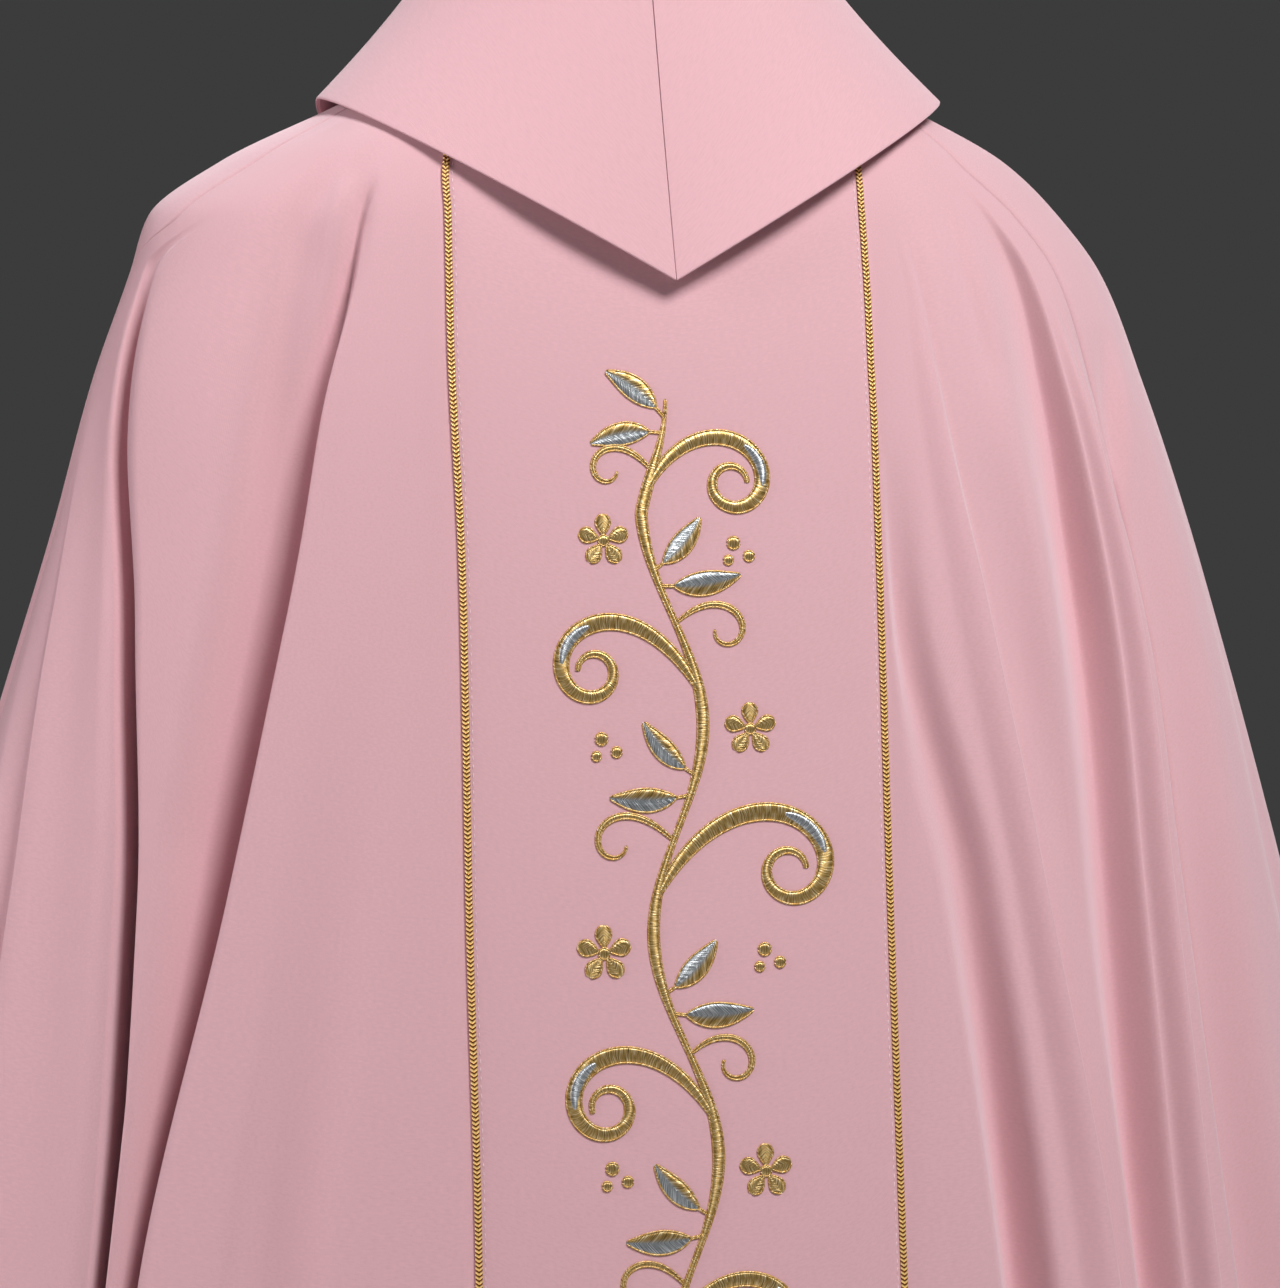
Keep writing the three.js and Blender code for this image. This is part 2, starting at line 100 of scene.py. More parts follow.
# Fold lines in order round the body. angle: where the line runs at each level, in degrees from
# the centre back; depth: how far the cloth dips; left, right: widths of the flanks; lean: how far
# the valley tucks sideways; share: how much of the gap to the next line a flank may take;
# steep: power of the flank's profile; flat: plain columns up to the next line.
LEVELS = (0, -65, -90, -120, -200, -300, -450, -650, -1300)
FOLD_COLUMNS = ("name", "angle", "depth", "left", "right", "lean", "share", "steep", "flat")
FOLDS = [
    ("left_seam", (80, 61, 64, 86, 93, 92.5, 92, 92, 92),
     (0, 0, 0, 0, 0, 0, 0, 0, 0), 0, 0, 0, 0, 2, 8),
    ("arm_crease", (72, 58, 59.5, 78, 81, 73.5, 64, 58.5, 56),
     (0, 0, 0, 0, 0, 1.5, 7, 13, 20), 26, 6, 0, 0.5, 2, 4),
    ("arm_valley", (64, 53, 56.5, 69.5, 63.9, 54.4, 46.2, 42.2, 38),
     (0, 0, 0, 3, 26, 46, 54, 46, 34), 8, 6, -2, 0.45, 2.4, 6),
    ("back_left_valley", (50, 36, 34.4, 34.4, 35.4, 36.1, 37.4, 39.9, 35),
     (0, 0, 3, 9, 22, 31, 38, 38, 34), 42, 6, 9, 0.72, 2, 4),
    ("low_left_valley", (47, 32, 29.4, 28.6, 28, 28, 28, 29, 26),
     (0, 0, 0, 0, 0, 0, 4, 11, 22), 26, 36, 0, 0.5, 2, 4),
    ("left_braid", (43, 27.1, 23.7, 22.9, 20.7, 18.5, 16.2, 13.8, 10.7),
     (0, 0, 0, 0, 0, 0, 0, 0, 0), 4.2, 4.2, 0, 0.4, 2, 44),
    ("right_braid", (-47, -29.1, -26, -23.9, -21.6, -19.8, -18, -16.4, -12.3),
     (0, 0, 0, 0, 0, 0, 0, 0, 0), 4.2, 4.2, 0, 0.4, 2, 2),
    ("braid_valley", (-50, -31.2, -28.4, -26.6, -23, -21.8, -25.1, -26.2, -23.2),
     (0, 0, 0, 0, 0, 8, 16.5, 29, 32), 20, 18, 0, 0.6, 2, 3),
    ("back_right_ridge", (-53, -33, -30.6, -29.4, -28.8, -29.8, -31.1, -32.6, -29),
     (0, 0, 0, -1, -4, -8, -11, -13, -12), 22, 5, 0, 0.4, 2, 9),
    ("back_right_valley", (-62, -44.5, -45, -45.4, -44.6, -43.2, -40.2, -37.8, -33),
     (0, 0, 2, 8, 18, 25, 24, 22, 22), 40, 18, 0, 0.5, 2, 3),
    ("right_ridge", (-68, -46.5, -47.8, -48.6, -48.2, -47.3, -44.4, -42.2, -37),
     (0, 0, 0, 0, -5, -9, -12, -13, -12), 14, 5, 0, 0.45, 2, 2),
    ("right_seam", (-75, -49, -51, -52, -52, -52, -49.6, -47.6, -43),
     (0, 0, 0, 0, 5, 10, 14, 18, 20), 12, 40, 0, 0.5, 2, 6),
    ("right_side_valley", (-88, -80, -79, -78, -76, -76, -74, -74, -74),
     (0, 0, 0, 0, 2, 5, 9, 14, 20), 34, 34, 0, 0.4, 2, 6),
    ("right_arm_ridge", (-100, -96, -95, -94, -94, -94, -94, -93, -92),
     (0, 0, 0, 0, -2, -4, -6, -8, -10), 40, 40, 0, 0.4, 2, 0),
    ("right_arm_valley", (-116, -112, -112, -112, -114, -114, -113, -112, -110),
     (0, 0, 1, 3, 12, 22, 30, 32, 30), 34, 22, 5, 0.45, 2, 8),
    ("front_right_valley", (-138, -134, -135, -136, -138, -139, -140, -141, -143),
     (0, 1, 2, 4, 9, 14, 18, 22, 26), 30, 40, 0, 0.45, 2, 8),
    ("front_mid_valley", (-160, -160, -160, -161, -162, -162, -162, -162, -162),
     (0, 0, 0, 0, 3, 7, 12, 18, 26), 34, 30, 0, 0.45, 2, 6),
    ("front_left_ridge", (-182, -182, -182, -182, -183, -184, -184, -184, -184),
     (0, 0, 0, 0, -1, -2, -4, -7, -12), 36, 40, 0, 0.45, 2, 6),
    ("front_left_valley", (-204, -203, -203, -203, -202, -202, -202, -203, -202),
     (0, 0, 1, 2, 6, 10, 14, 19, 25), 30, 34, 0, 0.45, 2, 8),
    ("front_side_valley", (-226, -228, -227, -227, -225, -224, -223, -222, -220),
     (0, 1, 3, 5, 10, 16, 20, 25, 28), 36, 26, 0, 0.45, 2, 8),
    ("left_arm_valley", (-250, -254, -253, -252, -250, -249, -250, -250, -250),
     (0, 0, 1, 2, 10, 20, 27, 30, 28), 24, 34, -5, 0.45, 2, 6),
    ("left_side_ridge", (-268, -274, -273, -266, -259, -259, -259, -259, -259),
     (0, 0, 0, 0, -2, -4, -6, -8, -10), 34, 22, 0, 0.4, 2, 6),
]
# Small creases: heights from top to bottom, the angle and the depth at each, the half width, and
# how much of the dip stands up as a ridge on its left (+) or right (-) side.
CREASE_COLUMNS = ("name", "heights", "angles", "depths", "width", "ridge")
CREASES = [
    ("neck_right", (-70, -95, -125, -160, -190), (-39.2, -38, -36.7, -36.4, -36.4),
     (0, 1.2, 2.2, 2, 0), 7, -0.4),
    ("strip_right", (-95, -120, -150, -185), (-30.6, -30.1, -29.3, -28.9),
     (0, 1.2, 1.2, 0), 5, -0.4),
    ("shoulder_right", (-150, -166, -191, -218, -245, -270),
     (-58.5, -57.5, -55.4, -53.4, -51.5, -51),
     (0, 2, 3.6, 3.6, 2, 0), 7, -0.5),
    ("middle_right", (-170, -200, -264, -320, -370, -410),
     (-36.1, -36.3, -37.6, -36.4, -34.2, -32.4),
     (0, -1.5, -3, -3, -1.5, 0), 12, 0),
    ("low_right", (-215, -263, -320, -420, -500, -616, -800),
     (-32.2, -32.7, -33, -35, -36.2, -37.3, -37),
     (0, 2, 4, 5, 5, 4, 0), 16, 0),
    ("arm_left", (-150, -200, -260, -330, -412, -498, -611, -800),
     (76, 72, 67, 62.5, 57.7, 54.6, 51.8, 50),
     (0, 2, 3, 4, 4, 5, 5, 0), 16, 0.3),
    ("streak_left", (-56, -80, -110, -150, -200, -257, -330, -450),
     (43.4, 41.2, 41, 41, 40.9, 41, 41, 41.5),
     (0, 5, 7, 7.5, 7, 6, 5, 0), 11, -0.35),
    ("valley_head", (-56, -68, -82, -98, -125, -165), (39.2, 38.2, 34.6, 33.9, 34.2, 35),
     (0, 3, 5.5, 6, 4, 0), 6.5, 0.4),
    ("front_1", (-80, -150, -240, -380), (-146, -148, -151, -153), (0, 3, 3.5, 0), 11, 0.5),
    ("front_2", (-90, -200, -360, -560), (-172, -174, -175, -175), (0, 2.4, 4, 0), 13, -0.4),
    ("front_3", (-70, -160, -300, -430), (-214, -213, -212, -212), (0, 3, 3.5, 0), 10, -0.5),
    ("front_4", (-260, -420, -640, -900), (-126, -127, -128, -128), (0, 4, 5, 0), 16, 0.3),
    ("front_5", (-300, -480, -700, -950), (-238, -237, -236, -236), (0, 4, 5, 0), 17, -0.3),
    ("side_right", (-150, -260, -420, -560), (-86, -86, -85, -85), (0, 3, 4, 0), 12, 0.4),
    ("side_left", (-160, -280, -420, -560), (-272, -273, -274, -274), (0, 3, 4, 0), 12, -0.4),
]
RIDGE_AWAY = 1.5
FLANK_STEPS = 8
RING_COUNT = 170
SETTLE_PASSES = 14
TUCK_FROM, TUCK_SPAN = 80, 220
CLOTH_THICKNESS = 1.2
HALF_SEAM_GAP = 0.15


def curve_through(xs, ys):
    """Smooth curve through points with falling xs that never overshoots: cubic pieces whose
    tangents are harmonic means of the neighbouring slopes; straight on above the first point."""
    xs, ys = np.array(xs, float), np.array(ys, float)
    steps = np.diff(xs)
    slopes = np.diff(ys) / steps
    before, after = slopes[:-1], slopes[1:]
    near, far = 2 * steps[1:] + steps[:-1], steps[1:] + 2 * steps[:-1]
    same_way = before * after > 0
    safe_before, safe_after = np.where(same_way, before, 1), np.where(same_way, after, 1)
    middle = np.where(same_way, (near + far) / (near / safe_before + far / safe_after), 0)
    tangents = np.concatenate([slopes[:1], middle, slopes[-1:]])

    def at(x):
        x = np.asarray(x, float)
        i = np.clip(np.searchsorted(-xs, -x) - 1, 0, len(steps) - 1)
        t = np.minimum((x - xs[i]) / steps[i], 1.2)
        start = (1 + 2 * t) * (1 - t) ** 2 * ys[i] + t * (1 - t) ** 2 * steps[i] * tangents[i]
        end = t * t * (3 - 2 * t) * ys[i + 1] + t * t * (t - 1) * steps[i] * tangents[i + 1]
        return np.where(x > xs[0], ys[0] + (x - xs[0]) * tangents[0], start + end)

    return at


body_heights = [row[0] for row in BODY]
body = {
    name: curve_through(body_heights, [row[i] for row in BODY])
    for i, name in enumerate(BODY_COLUMNS)
    if i
}
creases = [dict(zip(CREASE_COLUMNS, row)) for row in CREASES]
folds = [dict(zip(FOLD_COLUMNS, row)) for row in FOLDS]
for fold in folds:
    fold["angle_at"] = curve_through(LEVELS, fold["angle"])
    fold["depth_at"] = curve_through(LEVELS, fold["depth"])


def plain_point(angle, z):
    """Body without folds: at height z a rounded box section, |x/w|^n + |y/d|^n = 1, with the
    half width w, depth d and power n of that height; angle is from the centre back towards +X."""
    a = np.radians(angle)
    sine, cosine = np.sin(a), np.cos(a)
    power = body["square"](z)
    reach = (np.abs(sine) ** power + np.abs(cosine) ** power) ** (-1 / power)
    wide = np.where(sine > 0, body["left"](z), body["right"](z))
    deep = np.where(cosine > 0, body["back"](z), body["front"](z))
    return np.stack([wide * sine * reach, deep * cosine * reach, z + 0 * a], -1)


def unit(vectors):
    """Vectors along the last axis, each scaled to length one."""
    return vectors / np.maximum(np.linalg.norm(vectors, axis=-1, keepdims=True), 1e-9)


def plain_frame(angle, z):
    """Direction along the section, outward normal (upward crossed with along) and mm per degree."""
    along = plain_point(angle + 0.5, z) - plain_point(angle - 0.5, z)
    upward = plain_point(angle, z + 2) - plain_point(angle, z - 2)
    speed = np.linalg.norm(along, axis=-1)
    return unit(along), unit(np.cross(upward, along)), speed


def row_height(angle, t):
    """Height of ring t (0 neck, 1 hem): neck and hem both fall from the sides to the centres as
    |cos|^(2 power), and t^spread packs the rings towards the neck."""
    cosine = np.cos(np.radians(angle))

    def edge_height(edge):
        middle = np.where(cosine > 0, edge["back"], edge["front"])
        return edge["side"] + (middle - edge["side"]) * np.abs(cosine) ** (2 * edge["power"])

    top, hem = edge_height(NECK_EDGE), edge_height(HEM_EDGE)
    spread = ROW_SPREAD["side"] + (ROW_SPREAD["centre"] - ROW_SPREAD["side"]) * cosine**2
    return top + (hem - top) * t**spread


def line_angle(k, z):
    """Angle of fold line k at height z, counted on past one turn so that it always falls."""
    turns, place = divmod(k, len(folds))
    return folds[place]["angle_at"](np.minimum(z, 0)) - 360 * turns


def between_lines(k, t):
    """Cloth from fold line k up to the next one at rings t (a column array): first the right flank
    of line k, then plain cloth, then the left flank of the next line. A flank dips by its fold's
    depth times (1 - q^steep)^2, q running from 0 on the line to 1 at the flank's edge."""
    here, after = folds[k % len(folds)], folds[(k + 1) % len(folds)]
    parts = np.arange(1, FLANK_STEPS + 1) / FLANK_STEPS
    right_parts = np.concatenate([[0.0], parts]) if here["right"] else np.array([0.0])
    flat_parts = np.arange(1, here["flat"] + 1) / (here["flat"] + 1)
    left_parts = parts[::-1] if after["left"] else np.array([])
    part = np.concatenate([right_parts, flat_parts, left_parts])[None, :]
    counts = (len(right_parts), len(flat_parts), len(left_parts))
    kind = np.repeat([0, 1, 2], counts)[None, :]
    z = -200 * t + 0 * part
    for _ in range(SETTLE_PASSES):
        first, last = line_angle(k, z), line_angle(k + 1, z)
        gap = first - last
        here_share = max(min(here["share"], 0.95 - after["share"]), 0.2)
        right_width = np.minimum(here["right"] / plain_frame(first, z)[2], gap * here_share)
        left_width = np.minimum(after["left"] / plain_frame(last, z)[2], gap * after["share"])
        inner, outer = first - right_width, last + left_width
        angle = np.select(
            [kind == 0, kind == 1],
            [first - right_width * part, inner + (outer - inner) * part],
            last + left_width * part,
        )
        z = (z + row_height(angle, t)) / 2
    steep = np.where(kind == 2, after["steep"], here["steep"])
    pull = np.where(kind == 1, 0, (1 - part**steep) ** 2)
    low = np.minimum(z, 0)
    depth = np.where(kind == 2, after["depth_at"](low), here["depth_at"](low)) * pull
    lean = np.where(kind == 2, after["lean"], here["lean"]) * pull
    tuck = np.clip((-z - TUCK_FROM) / TUCK_SPAN, 0, 1)
    tuck = tuck * tuck * (3 - 2 * tuck)
    along, outward, _ = plain_frame(angle, z)
    points = plain_point(angle, z) - outward * depth[..., None] - along * (lean * tuck)[..., None]
    return points, angle


def grid_normals(points):
    """Outward normals of a closed grid: rows go down, columns go round towards falling angle."""
    across = np.roll(points, -1, 1) - np.roll(points, 1, 1)
    return unit(np.cross(across, np.gradient(points, axis=0)))


def grid_faces(points, closed):
    """Corners of the quads of a grid of points; closed joins its last column to the first. Rows
    down and columns towards falling angle give faces that point outwards."""
    rows, columns = points.shape[:2]
    spans = np.arange(columns if closed else columns - 1)
    r, c = np.meshgrid(np.arange(rows - 1), spans, indexing="ij")
    d = (c + 1) % columns
    corners = [r * columns + c, (r + 1) * columns + c, (r + 1) * columns + d, r * columns + d]
    return np.stack(corners, -1).reshape(-1, 4)


def mesh_object(name, points, faces, uv=None):
    """A smooth mesh object of points (mm), lists of corners and, if given, a UV map (mm too)."""
    mesh = bpy.data.meshes.new(name)
    mesh.from_pydata((points.reshape(-1, 3) * MM).tolist(), [], faces)
    if uv is not None:
        layer = mesh.uv_layers.new(name="UVMap")
        layer.data.foreach_set("uv", (uv.reshape(-1, 2)[np.ravel(faces)] * MM).ravel())
    mesh.polygons.foreach_set("use_smooth", np.ones(len(faces), bool))
    obj = bpy.data.objects.new(name, mesh)
    bpy.context.scene.collection.objects.link(obj)
    return obj


def grid_mesh(name, points, uv, closed=False, flip=False):
    """A mesh object of one grid of points; flip turns its faces."""
    faces = grid_faces(points, closed)
    return mesh_object(name, points, (faces[:, ::-1] if flip else faces).tolist(), uv)


def along_grid(points):
    """UV in mm of a cloth grid: u grows along the middle ring, v down each column."""
    across = np.linalg.norm(np.diff(points, axis=1), axis=-1)
    down = np.linalg.norm(np.diff(points, axis=0), axis=-1)
    u = np.concatenate([[0], np.cumsum(across[len(points) // 2])])
    v = np.concatenate([np.zeros((1, points.shape[1])), np.cumsum(down, 0)])
    return np.stack([np.broadcast_to(u, v.shape), v], -1)


def creased(angle, z):
    """How far (mm) the small creases dip the cloth: a bell across each crease, depth times
    exp(-(d/width)^2) at distance d, less a fainter bell beside it for the ridge that it throws up."""
    dip = np.zeros(np.broadcast(angle, z).shape)
    speed = plain_frame(angle, z)[2]
    for crease in creases:
        heights = crease["heights"]
        middle = curve_through(heights, crease["angles"])(np.clip(z, heights[-1], heights[0]))
        depth = np.interp(z, heights[::-1], crease["depths"][::-1], left=0, right=0)
        away = (angle - middle) * speed / crease["width"]
        beside = away - RIDGE_AWAY * np.sign(crease["ridge"])
        dip += depth * (np.exp(-(away**2)) - abs(crease["ridge"]) * np.exp(-(beside**2)))
    return dip


t_rings = np.linspace(0, 1, RING_COUNT)[:, None]
parts_of_ring = [between_lines(k, t_rings) for k in range(len(folds))]
ring_points = np.concatenate([points for points, _ in parts_of_ring], 1)
ring_angles = np.concatenate([angle for _, angle in parts_of_ring], 1)
line_starts = np.cumsum([0] + [points.shape[1] for points, _ in parts_of_ring])
line_column = {fold["name"]: start for fold, start in zip(folds, line_starts)}
ring_dips = creased(ring_angles, ring_points[..., 2])
ring_points -= plain_frame(ring_angles, ring_points[..., 2])[1] * ring_dips[..., None]
ring_normals = grid_normals(ring_points)


def set_inputs(node, settings):
    """Sets a node's inputs by name."""
    for name, value in settings.items():
        node.inputs[name].default_value = value


def new_material(name, settings):
    """A material, its nodes and links, and its main shader with its inputs set."""
    material = bpy.data.materials.new(name)
    material.use_nodes = True
    nodes, links = material.node_tree.nodes, material.node_tree.links
    shader = nodes["Principled BSDF"]
    set_inputs(shader, settings)
    return material, nodes, links, shader


def fed_node(nodes, links, kind, vector, settings):
    """A new node of one kind whose Vector input comes from another node, with its inputs set."""
    node = nodes.new(kind)
    set_inputs(node, settings)
    links.new(vector, node.inputs["Vector"])
    return node


def add_ramp(nodes, links, factor, stops):
    """A colour ramp along a factor through three stops of (position, colour)."""
    ramp = nodes.new("ShaderNodeValToRGB")
    elements = ramp.color_ramp.elements
    elements[0].position = stops[0][0]
    elements[0].color = (*stops[0][1], 1)
    elements[1].position = stops[1][0]
    elements[1].color = (*stops[1][1], 1)
    elements.new(stops[2][0]).color = (*stops[2][1], 1)
    links.new(factor, ramp.inputs["Fac"])
    return ramp


def add_bump(nodes, links, height, shader, strength, depth):
    """Dents a shader's surface by a height: strength is a share, depth is in millimetres."""
    bump = nodes.new("ShaderNodeBump")
    set_inputs(bump, {"Strength": strength, "Distance": depth * MM})
    links.new(height, bump.inputs["Height"])
    links.new(bump.outputs["Normal"], shader.inputs["Normal"])


def cloth_material(name, colour, slub):
    """Fine plain weave: threads as crossed waves on the cloth's own map, slight slubs and a soft
    nap whose sheen greys the cloth where it turns away."""
    material, nodes, links, shader = new_material(name, {
        "Roughness": 0.82,
        "Specular IOR Level": 0.25,
        "Sheen Weight": 0.6,
        "Sheen Roughness": 0.65,
        "Sheen Tint": (0.93, 0.86, 0.9, 1),
    })
    place = nodes.new("ShaderNodeUVMap").outputs["UV"]
    slubs = fed_node(nodes, links, "ShaderNodeMapping", place, {"Scale": (330, 800, 1)})
    noise = {"Scale": 1.0, "Detail": 3.0}
    streaks = fed_node(nodes, links, "ShaderNodeTexNoise", slubs.outputs["Vector"], noise)
    tone = nodes.new("ShaderNodeMix")
    tone.data_type = "RGBA"
    tone.inputs["A"].default_value = (*[c * (1 - slub) for c in colour], 1)
    tone.inputs["B"].default_value = (*[min(1, c * (1 + slub)) for c in colour], 1)
    links.new(streaks.outputs["Fac"], tone.inputs["Factor"])
    links.new(tone.outputs["Result"], shader.inputs["Base Color"])
    heights = []
    waves = {"Scale": 620, "Distortion": 1.2, "Detail": 1.0}
    for direction in ("X", "Y"):
        threads = fed_node(nodes, links, "ShaderNodeTexWave", place, waves)
        threads.bands_direction = direction
        heights.append(threads)
    weave = nodes.new("ShaderNodeMath")
    weave.operation = "ADD"
    links.new(heights[0].outputs["Fac"], weave.inputs[0])
    links.new(heights[1].outputs["Fac"], weave.inputs[1])
    rough = nodes.new("ShaderNodeMath")
    rough.operation = "ADD"
    links.new(weave.outputs["Value"], rough.inputs[0])
    links.new(streaks.outputs["Fac"], rough.inputs[1])
    add_bump(nodes, links, rough.outputs["Value"], shader, 0.3, 0.3)
    return material


def thicken(obj, thickness):
    """Gives a sheet its wall, inwards from its modelled face."""
    wall = obj.modifiers.new("wall", "SOLIDIFY")
    wall.thickness = thickness * MM
    wall.offset = -1
    return obj


rose_cloth = cloth_material("rose_cloth", (0.745, 0.42, 0.46), slub=0.1)
left_seam, right_seam = line_column["left_seam"], line_column["right_seam"]
ring_count = ring_points.shape[1]
body_cuts = {
    "back": np.arange(left_seam, right_seam + 1),
    "front": np.arange(right_seam, left_seam + ring_count + 1) % ring_count,
}
for node, columns in body_cuts.items():
    points = ring_points[:, columns].copy()
    points[:, 0] += unit(points[:, 1] - points[:, 0]) * HALF_SEAM_GAP
    points[:, -1] += unit(points[:, -2] - points[:, -1]) * HALF_SEAM_GAP
    cloth = grid_mesh(f"{node}_cloth", points, along_grid(points))
    thicken(cloth, CLOTH_THICKNESS)
    cloth.data.materials.append(rose_cloth)
    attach(cloth, "root")
    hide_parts(node)

# Centre strip: a straight cut of the same cloth laid down the back over the body, its long edges
# under the braids, and sewn down by a line of pale machine stitches just inside each braid.
BRAID_HALF = 1.9
STRIP_LIFT = 0.9
STRIP_TOP, STRIP_END = 0.02, 0.998
STRIP_ROWS, STRIP_COLUMNS = 150, 61
STRIP_THICKNESS = 0.6
STITCH_PITCH, STITCH_LENGTH, STITCH_HALF = 4.5, 2.8, 0.3
STITCH_INSET, STITCH_LIFT = 3.5, 0.05
STITCH_TOP, STITCH_CLEAR = -24.0, 4


def strip_angle(share, z):
    """Angle of a place on the strip: share runs from the left braid's line (0) to the right (1)."""
    return line_angle(LEFT_BRAID, z) * (1 - share) + line_angle(RIGHT_BRAID, z) * share


def strip_width(z):
    """Width (mm) of the strip from braid to braid: the length of the chain of 24 chords there."""
    shares = np.linspace(0, 1, 25)
    z = np.asarray(z, float)
    points = plain_point(strip_angle(shares, z[..., None]), z[..., None] + 0 * shares)
    return np.linalg.norm(np.diff(points, axis=-2), axis=-1).sum(-1)


def strip_point(across, z, lift):
    """Point on the back at across mm from the strip's middle towards its right braid, at height
    z, moved out from the body cloth by lift, with the cloth's outward normal there."""
    share = 0.5 + across / strip_width(z)
    angle = strip_angle(share, z)
    along, outward, _ = plain_frame(angle, z)
    dip = creased(angle, z)
    return plain_point(angle, z) + outward * (lift - dip)[..., None], outward, along


LEFT_BRAID = [fold["name"] for fold in folds].index("left_braid")
RIGHT_BRAID = [fold["name"] for fold in folds].index("right_braid")
t_strip = np.linspace(STRIP_TOP, STRIP_END, STRIP_ROWS)[:, None]
share = np.linspace(0, 1, STRIP_COLUMNS)[None, :]
z = -200 * t_strip + 0 * share
for _ in range(7):
    z = row_height(strip_angle(share, z), t_strip)
half_width = strip_width(z) / 2
edge = 1 + BRAID_HALF / half_width
across = (share - 0.5) * 2 * half_width * edge
strip_points, _, _ = strip_point(across, z, np.full(z.shape, STRIP_LIFT))
strip = grid_mesh("orphrey_cloth", strip_points, along_grid(strip_points))
thicken(strip, STRIP_THICKNESS)
strip.data.materials.append(rose_cloth)
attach(strip, "root")
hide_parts("back_orphrey")


def strip_end_at(k):
    """Height where fold line k meets the strip's lower edge, found by going back and forth between
    the edge's height at an angle and the line's angle at a height."""
    z = row_height(0.0, STRIP_END)
    for _ in range(10):
        z = row_height(line_angle(k, z), STRIP_END)
    return float(z)


def stamped(name, shape, faces, centres, frames):
    """One mesh of many copies of a small shape: each copy's points are its centre plus x, y and z
    times the three directions of its frame."""
    points = centres[:, None] + np.einsum("vk,nkd->nvd", shape, frames)
    copies = np.arange(len(centres))[:, None, None] * len(shape)
    all_faces = []
    for block in faces:
        all_faces += (block[None] + copies).reshape(-1, block.shape[1]).tolist()
    return mesh_object(name, points, all_faces)


def stitch_shape(length, half):
    """A stitch lying along x: three rings of six points on an ellipsoid, and its two ends."""
    turn = np.radians(np.arange(6) * 60)
    stations = np.array([-0.3, 0, 0.3]) * length
    radii = half * np.sqrt(1 - (2 * stations / length) ** 2)
    rings = np.stack([
        stations[:, None] + 0 * turn,
        radii[:, None] * np.cos(turn),
        radii[:, None] * np.sin(turn),
    ], -1)
    points = np.concatenate([rings.reshape(-1, 3), [[-length / 2, 0, 0], [length / 2, 0, 0]]])
    c = np.arange(6)
    d = (c + 1) % 6
    quads = np.concatenate([np.stack([c, d, 6 + d, 6 + c], -1) + first for first in (0, 6)])
    first_end = np.stack([d, c, 0 * c + 18], -1)
    last_end = np.stack([12 + c, 12 + d, 0 * c + 19], -1)
    return points, (quads, np.concatenate([first_end, last_end]))


pale_thread = new_material("pale_thread", {"Base Color": (0.9, 0.66, 0.7, 1), "Roughness": 0.5})[0]
strip_ends = {"left": strip_end_at(LEFT_BRAID), "right": strip_end_at(RIGHT_BRAID)}
for side, name in ((-1, "left"), (1, "right")):
    heights = np.arange(STITCH_TOP, strip_ends[name] + STITCH_CLEAR, -STITCH_PITCH)
    across = side * (strip_width(heights) / 2 - STITCH_INSET)
    lift = np.full(heights.shape, STRIP_LIFT + STITCH_LIFT)
    centre, outward, _ = strip_point(across, heights, lift)
    ahead = unit(np.gradient(centre, axis=0))
    frames = np.stack([ahead, np.cross(outward, ahead), outward], 1)
    shape, faces = stitch_shape(STITCH_LENGTH, STITCH_HALF)
    stitches = stamped(f"strip_stitches_{name}", shape, faces, centre, frames)
    stitches.data.materials.append(pale_thread)
    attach(stitches, "root")

# Embroidery: a climbing vine in gold metallic satin stitch with silver in the leaves, worked by
# machine over padding on the centre strip, every shape outlined by a fine twisted gold cord.
VINE_TOP, VINE_END = -188.0, -764.0
VINE_WAVE, VINE_SWING = 226.0, 15.0
SATIN_HEIGHT = 0.95
CORD_HALF = 0.55
CORD_LIFT = 0.35
SATIN_COLUMNS = 9
VINE_POINTS, LEAF_POINTS, PETAL_POINTS = 420, 52, 20
PETALS = 5
SATIN_GOLD = (0.6, 0.38, 0.115)
# Curls leave the vine at height z: first heading (degrees, 0 to the viewer's right, 90 up),
# length, bend at both ends (degrees per mm), how late the bend grows, half the widest width.
CURL_COLUMNS = ("name", "z", "heading", "length", "bend_start", "bend_end", "late", "half")
CURLS = [
    ("top_spiral", -238, 66, 160, -0.9, -7.0, 1.6, 3.9),
    ("top_tendril", -226, 128, 62, 1.0, 11, 1.4, 1.4),
    ("left_spiral", -342, 116, 178, 0.6, 6.8, 1.7, 4.2),
    ("left_tendril", -306, 44, 70, -1.2, -10, 1.5, 1.4),
    ("middle_spiral", -450, 62, 208, -0.5, -6.2, 1.9, 4.5),
    ("middle_tendril", -420, 134, 76, 0.8, 9.5, 1.6, 1.5),
    ("low_spiral", -566, 116, 184, 0.7, 6.7, 1.7, 4.2),
    ("low_tendril", -532, 44, 70, -1.4, -9.5, 1.3, 1.4),
    ("end_spiral", -676, 60, 160, -0.9, -7.2, 1.7, 3.8),
    ("end_tendril", -652, 130, 64, 1.0, 10.5, 1.4, 1.3),
]
# Leaves on the vine at height z: heading, length with the stalk, half width and bend; silver
# thread covers the half on the left of the stalk's run.
LEAF_COLUMNS = ("z", "heading", "length", "half", "bend")
LEAVES = [
    (-198, 128, 40, 5.6, 0.7), (-206, 172, 40, 5.4, 0.8),
    (-286, -4, 44, 5.8, 0.5), (-278, 34, 38, 5.2, 0.7),
    (-396, 192, 44, 5.8, -0.5), (-386, 148, 40, 5.2, -0.7),
    (-510, -10, 44, 6.0, 0.5), (-500, 30, 40, 5.4, 0.7),
    (-626, 194, 42, 5.8, -0.5), (-616, 150, 40, 5.2, -0.7),
    (-744, -18, 40, 5.6, 0.6), (-758, -62, 36, 5.2, -0.4), (-746, 204, 40, 5.6, -0.6),
]
